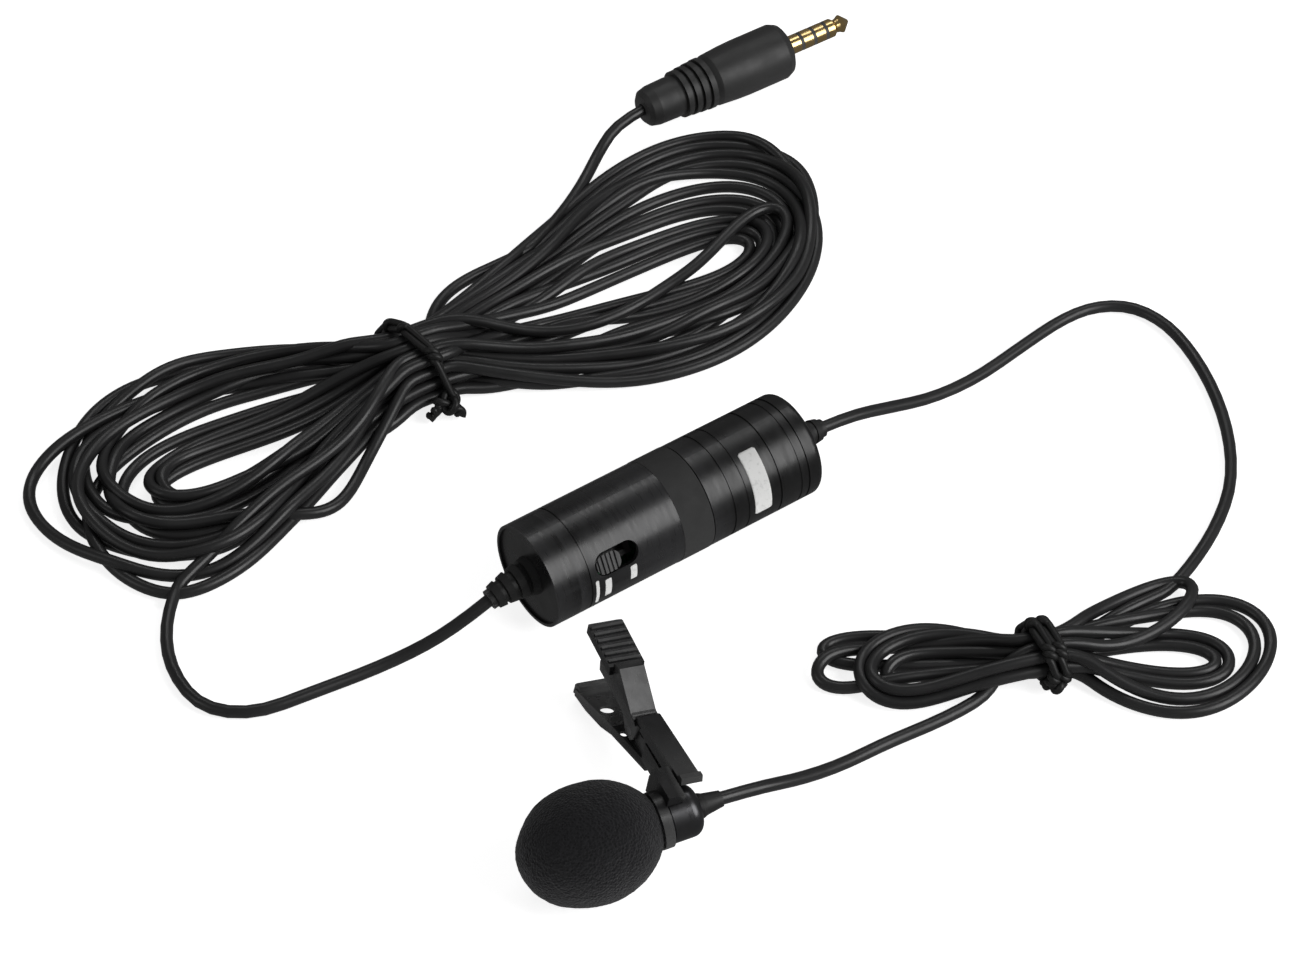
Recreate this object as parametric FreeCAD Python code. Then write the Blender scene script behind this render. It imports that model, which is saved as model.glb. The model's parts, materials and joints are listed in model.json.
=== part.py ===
import FreeCAD, Part
import math
import os

# Clip-on lavalier microphone with an in-line battery pack, two tied cable hanks and a 3.5 mm plug.
# Millimetres, +Z up, origin on the resting surface under the middle of microphone, clip and pack.

V = FreeCAD.Vector
UP = V(0, 0, 1)
ALONG = V(1, 0, 0)

# ---------------------------------------------------------------- driving dimensions
CORD_R = 1.05                 # radius of both cables
SLIDE_GAP = 0.05              # radial clearance of a running fit

PACK_R = 9.0
PACK_FACE = V(-20.7, 13.6, PACK_R)    # centre of the pack's plug-side end face
PACK_AZIMUTH = 34.7
CAP_SEAM = 4.3                # end cap to main tube
TUBE_WALL = 0.9
BAND_START = 24.4
BAND_END = 30.2
PACK_LENGTH = 52.2
NECK_R = 7.55                 # threaded neck that the battery cap screws on
NECK_END = 40.6
CAP_GROOVES = ((34.2, 0.15), (36.9, 0.12), (43.4, 0.2), (47.4, 0.12), (49.0, 0.2))
HOLDER_R = 6.95
CELL_R = 5.8                  # button cell, 11.6 x 5.4
CELL_THICK = 5.4
CELL_START = 42.3

SWITCH_TILT = 62.5            # switch direction, turned from straight up towards the near side
SLOT_MIDDLE = 11.8
SLOT_LENGTH = 8.2
SLOT_WIDTH = 4.1
KNOB_LENGTH = 4.4
KNOB_TOP = 9.1

MIC_CENTRE = V(-10.25, -40.7, 9.17)   # middle of the foam, on the capsule's axis
MIC_AZIMUTH = 24.0
FOAM_HALF_LENGTH = 11.0
FOAM_R = 9.17
CAPSULE_R = 3.95
SOCKET_R = 4.2                # bore of the foam
REAR_R = 4.2
REAR_START = 12.5
REAR_END = 17.7
RING_START = 10.6
RING_END = 12.2
RING_R = 4.6

CLIP_OFFSET = 16.3            # clip's middle plane, along the capsule's axis from the foam's middle
CLIP_PITCH = 2.7              # levers point slightly down, to the floor
CLIP_ROLL = 12.0
PIVOT = 18.2                  # hinge pin, along the clip from the capsule's axis
PIN_R = 0.75
CLIP_TIP = 35.4
ARM_HALF = 1.8                # half widths of the levers' stretches
PANEL_HALF = 2.15
WEB_HALF = 1.9
PAD_HALF = 3.0
LOWER_HALF = 3.05
JAW_HALF = 1.65
NECK_HALF = 1.2               # of the jaw's neck, that passes between the web's cheeks
LEVER_HOLES = ((19.4, 1.95, 0.6), (26.6, 1.3, 1.15))   # (x, y, radius)
PLATE = 0.55                   # lower lever's plate, stiffened by a rim RIM wide all round
RIM = 0.6
RIM_DEPTH = 1.65

PLUG_R = 5.25
PLUG_REAR = V(-2.55, 129.2, PLUG_R)    # middle of the face that the cable enters
PLUG_AZIMUTH = 33.0
PLUG_BULB_R = 3.75
PLUG_LENGTH = 30.7
JACK_R = 1.75                 # standard 3.5 mm plug
JACK_LENGTH = 14.0
BAND_WIDTH = 0.7              # insulating ring between two contacts

nodes = {}


# ---------------------------------------------------------------- helpers
def rod(radius, start, end):
    """Cylinder along X from start to end."""
    return Part.makeCylinder(radius, end - start, V(start, 0, 0), ALONG)


def tube(outer, inner, start, end):
    return rod(outer, start, end).cut(rod(inner, start - 1, end + 1))


def frustum(first_r, last_r, start, end):
    return Part.makeCone(first_r, last_r, end - start, V(start, 0, 0), ALONG)


def turned(profile):
    """Solid of revolution about X from an (x, radius) outline."""
    points = [V(x, 0, r) for x, r in profile]
    face = Part.Face(Part.makePolygon(points + points[:1]))
    return face.revolve(V(0, 0, 0), ALONG, 360)


def block(x0, x1, y0, y1, z0, z1):
    return Part.makeBox(x1 - x0, y1 - y0, z1 - z0, V(x0, y0, z0))


def joined(*shapes):
    whole = shapes[0].fuse(list(shapes[1:]))
    return whole.removeSplitter()


def side_profile(outline, half_width):
    """Plate cut to an outline in the XZ plane, as wide as twice half_width."""
    points = [V(x, -half_width, z) for x, z in outline]
    face = Part.Face(Part.makePolygon(points + points[:1]))
    return face.extrude(V(0, 2 * half_width, 0))


def placement(origin, yaw, pitch=0.0, roll=0.0):
    return FreeCAD.Placement(origin, FreeCAD.Rotation(yaw, pitch, roll))


def put(name, shape, where):
    nodes[name] = shape.transformed(where.toMatrix(), True)


def tangent_path(route):
    """Straight runs joined by tangent arcs, each as large as its two runs allow."""
    edges = []
    radii = []
    last = route[0]
    for before, corner, after in zip(route, route[1:], route[2:]):
        back = before - corner
        ahead = after - corner
        reach = 0.45 * min(back.Length, ahead.Length)
        half_turn = (math.pi - back.getAngle(ahead)) / 2
        back.normalize()
        ahead.normalize()
        radius = reach / math.tan(half_turn)
        middle = back + ahead
        middle.normalize()
        start = corner + back * reach
        end = corner + ahead * reach
        crest = corner + middle * (radius / math.cos(half_turn) - radius)
        edges.append(Part.LineSegment(last, start).toShape())
        edges.append(Part.Arc(start, crest, end).toShape())
        radii.append(radius)
        last = end
    edges.append(Part.LineSegment(last, route[-1]).toShape())
    return Part.Wire(edges), radii


def cord(name, points):
    route = [V(*p) for p in points]
    path, radii = tangent_path(route)
    section = Part.Wire(Part.makeCircle(CORD_R, route[0], route[1] - route[0]))
    solid = path.makePipeShell([section], True, False)
    expected = math.pi * CORD_R ** 2 * path.Length
    print(f"{name}: length {path.Length:.1f}, volume {solid.Volume / expected:.4f} of section x length")
    print("  radii", [round(r, 1) for r in radii])
    nodes[name] = solid


def hank(name, outline, height):
    """Closed solid of a hank's outer shape: a smooth plan outline of one height."""
    curve = Part.BSplineCurve()
    curve.interpolate([V(x, y, 0.02) for x, y in outline], PeriodicFlag=True)
    face = Part.Face(Part.Wire(curve.toShape()))
    nodes[name] = face.extrude(UP * height)


def rounded_along(box, radius):
    """Box with its four long edges, those along X, rounded."""
    lying = [e for e in box.Edges if abs(e.tangentAt(e.FirstParameter).x) > 0.9]
    return box.makeFillet(radius, lying)


def tie_band(width, height, wall, depth):
    """Flat ring round a bundle: X is along the bundle, Y across it, its foot at Z = 0."""
    outer = block(-depth / 2, depth / 2, -width / 2, width / 2, 0, height)
    inner = block(-depth, depth, wall - width / 2, width / 2 - wall, wall, height - wall)
    return rounded_along(outer, height * 0.4).cut(rounded_along(inner, height * 0.4 - wall))


# ---------------------------------------------------------------- battery pack
def ribbed_relief(name, where, base_r, tip_r, start, length, ribs, droop, flange_r, flange_end):
    """Rubber strain relief: ribs on a thin core that droops evenly, with a flange inside the shell."""
    step = length / ribs
    body = joined(rod(flange_r, start - flange_end, start - flange_end + 1.0),
                  rod(base_r * 0.78, start - flange_end, start + 0.2))
    spot = placement(V(start, 0, 0), 0)
    for rib in range(ribs):
        r = base_r + (tip_r - base_r) * rib / (ribs - 1)
        disc = frustum(r, r * 0.9, 0, step * 0.62)
        core = rod(r * 0.74, -0.1, step + 0.15)
        piece = joined(core, disc).transformed(spot.toMatrix(), True)
        body = joined(body, piece)
        bend = FreeCAD.Rotation(V(0, 1, 0), droop / ribs)
        spot = spot * FreeCAD.Placement(V(step, 0, 0), bend)
    put(name, body, where)
    return where * spot


def pack_shell(where):
    rim = tube(PACK_R, PACK_R - 0.55, 0, 0.4)
    disc = rod(PACK_R, 0.4, CAP_SEAM)
    spigot = rod(PACK_R - TUBE_WALL - SLIDE_GAP, CAP_SEAM, CAP_SEAM + 3.6)
    hollow = rod(6.9, 2.4, CAP_SEAM + 4)
    end_cap = joined(rim, disc, spigot).cut(hollow).cut(rod(2.7, -1, 3))
    put("pack_end_cap", end_cap, where)

    main = tube(PACK_R, PACK_R - TUBE_WALL, CAP_SEAM, BAND_START)
    seam = tube(PACK_R + 1, PACK_R - 0.15, CAP_SEAM + 2.0, CAP_SEAM + 2.25)
    main = main.cut(seam)
    straight = SLOT_LENGTH / 2 - SLOT_WIDTH / 2
    slot = block(SLOT_MIDDLE - straight, SLOT_MIDDLE + straight, -SLOT_WIDTH / 2, SLOT_WIDTH / 2, 4, 12)
    for side in (-straight, straight):
        slot = slot.fuse(Part.makeCylinder(SLOT_WIDTH / 2, 8, V(SLOT_MIDDLE + side, 0, 4), UP))
    turn = placement(V(0, 0, 0), 0, 0, SWITCH_TILT)
    put("pack_main_tube", main.cut(slot.transformed(turn.toMatrix(), True)), where)

    inside = PACK_R - TUBE_WALL - SLIDE_GAP
    coupler = joined(rod(inside, BAND_START - 6, BAND_END), rod(NECK_R, BAND_END, NECK_END))
    for ridge in range(5):
        groove = BAND_END + 2.2 + ridge * 0.9
        coupler = coupler.cut(tube(NECK_R + 1, NECK_R - 0.25, groove, groove + 0.4))
    put("pack_coupler", coupler.cut(rod(6.3, 0, PACK_LENGTH)), where)
    put("grip_band", tube(PACK_R + 0.05, inside, BAND_START, BAND_END), where)


def battery_end(where):
    mouth = BAND_END + 0.2
    cap = rod(PACK_R, mouth, PACK_LENGTH)
    edge = [e for e in cap.Edges if e.Length > 50 and abs(e.CenterOfMass.x - PACK_LENGTH) < 0.01]
    cap = cap.makeFillet(1.1, edge)
    for groove, depth in CAP_GROOVES:
        cap = cap.cut(tube(PACK_R + 1, PACK_R - depth, groove, groove + 0.35))
    cap = cap.cut(rod(8.5, mouth - 1, mouth + 1.1))
    cap = cap.cut(rod(NECK_R + SLIDE_GAP, 0, NECK_END + 0.4))
    cap = cap.cut(rod(HOLDER_R + 0.25, 0, PACK_LENGTH - 2.2))
    put("battery_cap", cap.cut(rod(3.1, 0, PACK_LENGTH + 2)), where)

    seal = turned([(mouth + 0.1, 7.8), (mouth + 0.3, 7.65), (mouth + 0.8, 7.65), (mouth + 1.0, 7.8),
                   (mouth + 1.0, 8.25), (mouth + 0.8, 8.4), (mouth + 0.3, 8.4), (mouth + 0.1, 8.25)])
    put("cap_seal", seal, where)

    holder = joined(rod(6.25, NECK_END - 4, NECK_END), rod(HOLDER_R, NECK_END + 0.05, 48.6),
                    rod(6.25, NECK_END - 0.5, NECK_END + 1))
    pocket = joined(rod(CELL_R + 0.1, CELL_START - 1.0, CELL_START + CELL_THICK + 0.5),
                    block(CELL_START - 1.0, CELL_START + CELL_THICK + 0.5, -5.9, 5.9, 0, 9))
    holder = holder.cut(pocket).cut(rod(5.2, NECK_END - 5, NECK_END - 0.6))
    put("battery_holder", holder, where)
    put("battery_cell", joined(rod(CELL_R, CELL_START, CELL_START + 3.9),
                               rod(4.6, CELL_START + 3.9, CELL_START + CELL_THICK)), where)

    leaf = [(CELL_START - 0.95, -4), (CELL_START - 0.75, -4), (CELL_START - 0.05, 0.2),
            (CELL_START - 0.75, 3.6), (CELL_START - 0.95, 3.6), (CELL_START - 0.25, 0.2)]
    put("battery_spring_contact", side_profile(leaf, 1.4), where)
    plate_at = CELL_START + CELL_THICK + 0.05
    put("battery_plate_contact", rod(3.6, plate_at, plate_at + 0.35), where)


def switch_and_board(where):
    """Board, switch and knob in the switch's own directions: X along the pack, Z out of the slot."""
    turn = where * placement(V(0, 0, 0), 0, 0, SWITCH_TILT)
    first = SLOT_MIDDLE - SLOT_LENGTH / 2 + 0.3
    body = block(7.4, 16.2, -1.8, 1.8, 1.9, 5.3).cut(block(8.9, 15.1, -0.8, 0.8, 3.6, 6))
    put("switch_body", body, turn)
    ridges = 5
    pitch = KNOB_LENGTH / (ridges + 0.5)
    knob = block(first, first + KNOB_LENGTH, -1.65, 1.65, 5.8, KNOB_TOP)
    rounds = [e for e in knob.Edges if abs(e.tangentAt(e.FirstParameter).z) > 0.9]
    knob = knob.makeFillet(1.3, rounds)
    for ridge in range(ridges):
        valley = first + pitch * (ridge + 0.2)
        knob = knob.cut(block(valley, valley + pitch * 0.4, -2, 2, KNOB_TOP - 0.35, KNOB_TOP + 1))
    stem = block(first + 1.5, first + 2.8, -0.55, 0.55, 4.0, 6.0)
    put("switch_knob", joined(knob, stem), turn)

    board = block(4.6, 33.0, -5.9, 5.9, 0.9, 1.9)
    put("circuit_board", board, turn)
    parts = [block(18.5, 23.5, -2.0, 2.0, 1.9, 3.4), block(25.0, 27.0, -3.4, -2.2, 1.9, 2.5),
             block(25.0, 27.0, -0.6, 0.6, 1.9, 2.5), block(25.0, 27.0, 2.2, 3.4, 1.9, 2.5)]
    for x, y in ((10.0, 2.2), (10.0, -2.2), (16.5, 0.0)):
        parts.append(Part.makeCylinder(2.0, 4.6, V(x, y, -3.7), UP))
    put("board_components", Part.makeCompound(parts), turn)


def power_pack():
    where = placement(PACK_FACE, PACK_AZIMUTH)
    pack_shell(where)
    battery_end(where)
    switch_and_board(where)
    back = where * FreeCAD.Placement(V(0.4, 0, 0), FreeCAD.Rotation(V(0, 0, 1), 180))
    left_tip = ribbed_relief("pack_relief_plug_side", back, 3.4, 2.3, 0, 7.8, 4, 18, 3.7, 3.0)
    ahead = where * placement(V(PACK_LENGTH, 0, 0), 0)
    right_tip = ribbed_relief("pack_relief_mic_side", ahead, 3.0, 2.1, 0.1, 5.8, 3, 8, 3.4, 3.7)
    return left_tip, right_tip


# ---------------------------------------------------------------- microphone
def foam_ball():
    """Egg of foam, an ellipse turned about X, with a blind socket for the capsule."""
    socket_end = -1.3
    mouth = FOAM_HALF_LENGTH * math.sqrt(1 - (SOCKET_R / FOAM_R) ** 2)
    ellipse = Part.Ellipse(V(FOAM_HALF_LENGTH, 0, 0), V(0, 0, FOAM_R), V(0, 0, 0))
    start = ellipse.parameter(V(mouth, 0, SOCKET_R))
    end = ellipse.parameter(V(-FOAM_HALF_LENGTH, 0, 0))
    arc = Part.ArcOfEllipse(ellipse, start, end).toShape()
    inside = Part.makePolygon([V(-FOAM_HALF_LENGTH, 0, 0), V(socket_end, 0, 0),
                               V(socket_end, 0, SOCKET_R), V(mouth, 0, SOCKET_R)])
    outline = Part.Wire(Part.__sortEdges__([arc] + inside.Edges))
    return Part.Face(outline).revolve(V(0, 0, 0), ALONG, 360)


def microphone():
    where = placement(MIC_CENTRE, MIC_AZIMUTH)
    put("foam_windscreen", foam_ball(), where)

    grille = turned([(-0.9, 0), (-0.9, 3.3), (-0.5, CAPSULE_R - 0.15), (-0.2, CAPSULE_R),
                     (0.9, CAPSULE_R), (0.9, CAPSULE_R - 0.5), (-0.3, CAPSULE_R - 0.5), (-0.3, 0)])
    hole_ring = 1.9
    for hole in range(7):
        angle = math.radians(60 * hole)
        radius = hole_ring if hole else 0
        spot = V(-2, radius * math.cos(angle), radius * math.sin(angle))
        grille = grille.cut(Part.makeCylinder(0.55, 3, spot, ALONG))
    put("mic_grille", grille, where)

    wall = 0.55
    put("mic_capsule_tube", tube(CAPSULE_R, CAPSULE_R - wall, 0.95, REAR_START), where)
    put("mic_mesh_disc", rod(CAPSULE_R - 0.6, -0.25, 0.85), where)
    put("element_gasket", tube(CAPSULE_R - wall - 0.02, 3.02, 1.0, 4.0), where)
    put("electret_element", rod(3.0, 1.1, 3.8), where)
    put("element_board", rod(2.9, 3.85, 4.45), where)

    rear = joined(rod(CAPSULE_R - wall, REAR_START - 3.5, REAR_START), rod(REAR_R, REAR_START, REAR_END))
    edge = [e for e in rear.Edges if abs(e.CenterOfMass.x - REAR_END) < 0.01 and e.Length > 20]
    rear = rear.makeFillet(1.9, edge)
    put("mic_rear_cap", rear.cut(rod(1.15, 0, 30)).cut(rod(2.4, 0, REAR_END - 1.2)), where)

    relief = turned([(REAR_END - 2.2, 1.12), (REAR_END - 2.2, 2.3), (REAR_END - 1.2, 2.3),
                     (REAR_END - 1.2, 1.14), (REAR_END, 1.14), (REAR_END, 2.0), (REAR_END + 0.6, 2.0),
                     (REAR_END + 1.2, 1.75), (REAR_END + 4.0, 1.3), (REAR_END + 4.0, 0),
                     (REAR_END - 2.2, 0)])
    put("mic_strain_relief", relief, where)
    return where * placement(V(REAR_END + 4.0, 0, 0), 0)


# ---------------------------------------------------------------- tie clip
def clip_placement():
    mic = placement(MIC_CENTRE, MIC_AZIMUTH)
    return mic * FreeCAD.Placement(V(CLIP_OFFSET, 0, 0), FreeCAD.Rotation(90, CLIP_PITCH, CLIP_ROLL))


def teeth(first, count, pitch, base, height, half_width):
    """Row of small triangular ridges across a jaw, pointing down when height is negative."""
    rows = []
    for tooth in range(count):
        x = first + tooth * pitch
        outline = [(x, base), (x + pitch * 0.9, base), (x + pitch * 0.45, base + height)]
        rows.append(side_profile(outline, half_width))
    return rows


def waist(bottom, inset, height):
    """Plate that widens from the lower lever's neck to its full width, its sides set in by inset."""
    near = NECK_HALF - inset
    wide = LOWER_HALF - inset
    outline = Part.makePolygon([V(12.4, -near, bottom), V(21.3, -wide, bottom), V(21.3, wide, bottom),
                                V(12.4, near, bottom), V(12.4, -near, bottom)])
    return Part.Face(outline).extrude(UP * height)


def tie_clip():
    where = clip_placement()
    along_pin = V(0, 1, 0)
    pin_at = V(PIVOT, -WEB_HALF, 0)

    arm = side_profile([(0.8, 4.8), (2.1, 4.4), (3.3, 3.7), (4.7, 2.7), (13.6, 2.5), (16.8, 2.6),
                        (17.5, 3.7), (16.4, 4.55), (2.3, 5.3), (2.0, 5.9), (1.1, 5.9)], ARM_HALF)
    panel = side_profile([(16.4, 2.7), (26.2, 5.3), (26.2, 7.0), (24.4, 7.5), (18.4, 3.55),
                          (17.2, 3.3)], PANEL_HALF)
    pad = side_profile([(25.6, 5.3), (CLIP_TIP, 6.2), (CLIP_TIP, 7.2), (CLIP_TIP - 0.5, 7.6),
                        (25.9, 6.7)], PAD_HALF)
    corners = [e for e in pad.Edges
               if abs(e.tangentAt(e.FirstParameter).z) > 0.9 and e.CenterOfMass.x > CLIP_TIP - 1]
    pad = pad.makeFillet(0.9, corners)
    ribs = []
    for rib in range(6):
        x = 26.6 + rib * 1.4
        top = 6.7 + (x - 25.9) * 0.1
        ribs.append(side_profile([(x, top - 0.5), (x + 0.7, top - 0.45), (x + 0.6, top + 0.4),
                                  (x + 0.1, top + 0.35)], PAD_HALF - 0.2))
    web = side_profile([(15.4, 3.2), (16.7, -0.5), (17.4, -1.2), (18.9, -1.2), (19.8, -0.5),
                        (21.0, 1.2), (24.0, 1.6), (30.4, 1.9), (30.8, 3.4), (30.2, 5.9), (27.2, 5.6),
                        (18.0, 3.5), (17.3, 3.0)], WEB_HALF)
    web = web.cut(side_profile([(14, -3), (32, -3), (32, 5.2), (25.0, 4.9), (17.0, 2.65), (14, 2.65)],
                               NECK_HALF + 0.15))
    upper = joined(arm, panel, pad, web, *ribs, *teeth(5.4, 6, 1.3, 2.66, -0.5, 1.5))
    upper = upper.cut(Part.makeCylinder(PIN_R + 0.03, 8, V(PIVOT, -4, 0), along_pin))
    put("clip_upper_lever", upper, where)

    jaw = side_profile([(4.95, 1.6), (13.8, 1.8), (15.2, 1.2), (17.0, 1.35), (19.4, 1.3), (21.5, -0.7),
                        (21.5, -2.4), (17.5, -2.2), (12.0, -1.6), (4.95, -1.7)], NECK_HALF)
    wide_jaw = side_profile([(4.95, 1.6), (13.4, 1.8), (13.4, -1.7), (4.95, -1.7)], JAW_HALF)
    lever = side_profile([(21.2, -1.65), (CLIP_TIP - 0.2, -5.9), (CLIP_TIP, -6.2), (CLIP_TIP, -7.0),
                          (32.0, -4.9 - PLATE), (21.2, -1.65 - PLATE)], LOWER_HALF)
    rims = side_profile([(21.2, -1.8), (CLIP_TIP - 1.2, -6.0), (CLIP_TIP - 1.2, -6.8), (30.0, -6.3),
                         (24.6, -4.85), (21.2, -1.65 - RIM_DEPTH)], LOWER_HALF)
    rims = rims.cut(block(20.0, CLIP_TIP, RIM - LOWER_HALF, LOWER_HALF - RIM, -8.0, 0.0))
    shield = waist(-1.65 - RIM_DEPTH, 0, RIM_DEPTH).cut(waist(-2 - RIM_DEPTH, RIM, RIM_DEPTH - PLATE + 0.35))
    rounded = [e for e in lever.Edges
               if abs(e.tangentAt(e.FirstParameter).z) > 0.8 and e.CenterOfMass.x > CLIP_TIP - 0.5]
    lever = lever.makeFillet(0.9, rounded)
    lip = side_profile([(CLIP_TIP - 2.2, -5.6), (CLIP_TIP - 1.9, -4.6), (CLIP_TIP - 0.9, -4.5),
                        (CLIP_TIP - 0.4, -5.2), (CLIP_TIP - 0.4, -6.2)], LOWER_HALF - 0.2)
    lower = joined(jaw, wide_jaw, lever, rims, shield, lip, *teeth(5.4, 6, 1.3, 1.55, 0.5, 1.5))
    for x, y, radius in LEVER_HOLES:
        lower = lower.cut(Part.makeCylinder(radius, 14, V(x, y, -10), UP))
    lower = lower.cut(Part.makeCylinder(PIN_R - 0.02, 8, V(PIVOT, -4, 0), along_pin))
    spring_room = block(PIVOT - 1.6, PIVOT + 1.6, -0.75, 0.75, -1.5, 3)
    put("clip_lower_lever", lower.cut(spring_room), where)

    put("clip_hinge_pin", Part.makeCylinder(PIN_R, 2 * WEB_HALF, pin_at, along_pin), where)
    coils = []
    for turn in range(3):
        coil = Part.makeTorus(1.02, 0.21, V(PIVOT, 0.40 * (turn - 1), 0), along_pin)
        coils.append(coil)
    put("clip_torsion_spring", joined(*coils), where)

    mic = placement(MIC_CENTRE, MIC_AZIMUTH)
    ring = tube(RING_R, CAPSULE_R + 0.08, RING_START, RING_END)
    bore = rod(CAPSULE_R + 0.08, RING_START - 1, RING_END + 6)
    stem = joined(block(3.0, 7.0, JAW_HALF, 3.8, -1.7, 1.6), block(-1.6, 4.9, 2.2, 5.0, -1.7, 5.1))
    stem = stem.transformed(where.toMatrix(), True)
    stem = stem.transformed(mic.inverse().toMatrix(), True)
    stem = stem.cut(rod(REAR_R + 0.4, RING_END, REAR_END + 3)).cut(bore)
    put("clip_ring", joined(ring, stem), mic)


# ---------------------------------------------------------------- plug
def plug():
    where = placement(PLUG_REAR, PLUG_AZIMUTH)
    handle = turned([(0, 1.1), (0, 2.6), (0.7, 3.4), (2.2, PLUG_BULB_R), (6.0, PLUG_BULB_R + 0.1),
                     (7.2, 3.7), (13.6, 4.3), (14.6, 4.85), (18.5, PLUG_R - 0.1), (21.0, PLUG_R),
                     (PLUG_LENGTH - 1.8, PLUG_R), (PLUG_LENGTH - 0.6, PLUG_R - 0.5),
                     (PLUG_LENGTH, PLUG_R - 1.5), (PLUG_LENGTH, 1.1)])
    for rib in range(4):
        start = 7.4 + rib * 1.65
        handle = handle.fuse(tube(4.4 + 0.14 * rib, 2.5, start, start + 1.05))
    put("plug_handle", handle.removeSplitter(), where)
    put("plug_core", rod(1.08, 0.65, PLUG_LENGTH), where)

    contacts = (("plug_sleeve_contact", 0.0, 2.9), ("plug_ring_two_contact", 2.9, 5.6),
                ("plug_ring_one_contact", 5.6, 8.3))
    bands = []
    for name, start, end in contacts:
        first = PLUG_LENGTH + start + (BAND_WIDTH if start else 0)
        put(name, tube(JACK_R, 0.9, first, PLUG_LENGTH + end), where)
        bands.append(tube(JACK_R - 0.02, 0.9, PLUG_LENGTH + end, PLUG_LENGTH + end + BAND_WIDTH))
    put("plug_insulators", Part.makeCompound(bands), where)
    tip = PLUG_LENGTH + 8.3 + BAND_WIDTH
    end = PLUG_LENGTH + JACK_LENGTH
    put("plug_tip_contact", turned([(PLUG_LENGTH, 0), (PLUG_LENGTH, 0.88), (tip, 0.88), (tip, JACK_R),
                                    (end - 3.6, JACK_R), (end - 2.9, 1.2), (end - 2.2, 1.35),
                                    (end - 1.5, JACK_R - 0.05), (end, 0.35), (end, 0)]), where)
    return where * placement(V(0.6, 0, 0), 0)


# ---------------------------------------------------------------- cables, hanks and ties
def cables(left_tip, right_tip, mic_tip, plug_entry):
    def at(spot):
        return tuple(round(c, 2) for c in spot.Base)

    print("cable starts", at(left_tip), at(right_tip), at(mic_tip), at(plug_entry))
    cord("mic_lead", [
        at(mic_tip), (15.6, -29.1, 8.5), (21.7, -25.1, 5.4), (28.5, -19.7, 2.2), (36.1, -14.1, 1.1),
        (44.3, -9.9, 1.1), (51.5, -5.1, 1.1), (55.1, -2.1, 1.1)])
    cord("pack_lead_mic_side", [
        at(right_tip), (32.1, 50.1, 8.2), (38.9, 54.7, 5.4), (46.3, 59.5, 2.6), (54.3, 65.7, 1.2),
        (62.2, 73.2, 1.1), (69.3, 79.7, 1.1), (75.3, 83.1, 1.1), (81.7, 83.3, 1.1), (87.2, 79.4, 1.1),
        (91.2, 72.4, 1.1), (94.4, 62.6, 1.1), (95.9, 51.6, 1.1), (95.2, 40.9, 1.1), (91.7, 31.4, 1.1),
        (87.2, 23.5, 1.1), (82.7, 17.5, 1.1)])
    cord("pack_lead_plug_side", [
        at(left_tip), (-31.5, 6.2, 5.9), (-37.9, 3.9, 2.6), (-45.7, 0.5, 1.1), (-54.5, -3.9, 1.1),
        (-63.5, -8.5, 1.1), (-71.9, -7.3, 1.1), (-77.1, -0.1, 1.1), (-79.1, 8.5, 1.1), (-78.1, 17.8, 1.2)])
    cord("plug_lead", [
        at(plug_entry), (-6.9, 126.4, 4.6), (-10.1, 121.7, 2.5),
        (-12.8, 114.9, 1.2), (-16.1, 107.5, 1.2), (-20.3, 99.9, 1.6), (-22.9, 95.9, 1.8)])

    hank("long_hank", [
        (-41.5, 74.3), (-32.5, 87.0), (-20.4, 98.0), (-8.9, 114.8), (4.1, 125.5), (15.6, 125.1),
        (24.7, 117.3), (27.7, 100.3), (22.6, 81.3), (8.1, 67.1), (-12.9, 63.3), (-33.6, 61.3),
        (-45.2, 53.6), (-54.9, 38.3), (-63.4, 24.5), (-76.9, 16.5), (-90.9, 21.8), (-102.9, 31.8),
        (-103.5, 43.3), (-92.4, 58.8), (-78.9, 68.8), (-56.9, 73.8)], 6.0)
    hank("short_hank", [
        (60.4, 4.7), (71.1, 11.9), (82.1, 18.7), (94.1, 14.1), (98.5, 4.5), (93.1, -4.2), (84.6, -10.3),
        (73.1, -6.7), (62.4, -2.4), (50.1, -3.2), (38.1, -7.9), (27.1, -3.5), (26.7, 4.1), (41.1, 8.5)], 4.4)

    bands = (("long_hank_tie", V(-40.2, 66.0, 0), 28.0, 20.0, 9.2, (-34.8, 58.4), 2.8),
             ("short_hank_tie", V(61.4, 1.6, 0), 14.0, 11.6, 7.8, (62.6, -4.0), 2.0))
    for name, centre, azimuth, width, height, knot_at, knot_r in bands:
        band = tie_band(width, height, 0.7, 2.0)
        band = band.transformed(placement(centre, azimuth).toMatrix(), True)
        knot = Part.makeSphere(knot_r, V(*knot_at, knot_r + 0.05))
        nodes[name] = joined(band, knot)


left, right = power_pack()
mic_end = microphone()
tie_clip()
plug_end = plug()
cables(left, right, mic_end, plug_end)

CORD_PIECES = {"mic_lead", "pack_lead_mic_side", "pack_lead_plug_side", "plug_lead", "long_hank",
               "short_hank", "long_hank_tie", "short_hank_tie"}
own = FreeCAD.BoundBox()
for name, shape in nodes.items():
    if name not in CORD_PIECES and not name.startswith("plug_"):
        own.add(shape.optimalBoundingBox(False))
print(f"object without its cords: X {own.XMin:.2f} {own.XMax:.2f}, Y {own.YMin:.2f} {own.YMax:.2f}, "
      f"Z {own.ZMin:.2f} {own.ZMax:.2f}")

os.makedirs("parts", exist_ok=True)
for name, shape in nodes.items():
    if not shape.isValid():
        print("not valid:", name)
    shape.exportStep(f"parts/{name}.step")
print(len(nodes), "nodes")
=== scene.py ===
import json
import math

import bmesh
import bpy
import numpy as np
from mathutils import Matrix, Vector, noise


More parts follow.
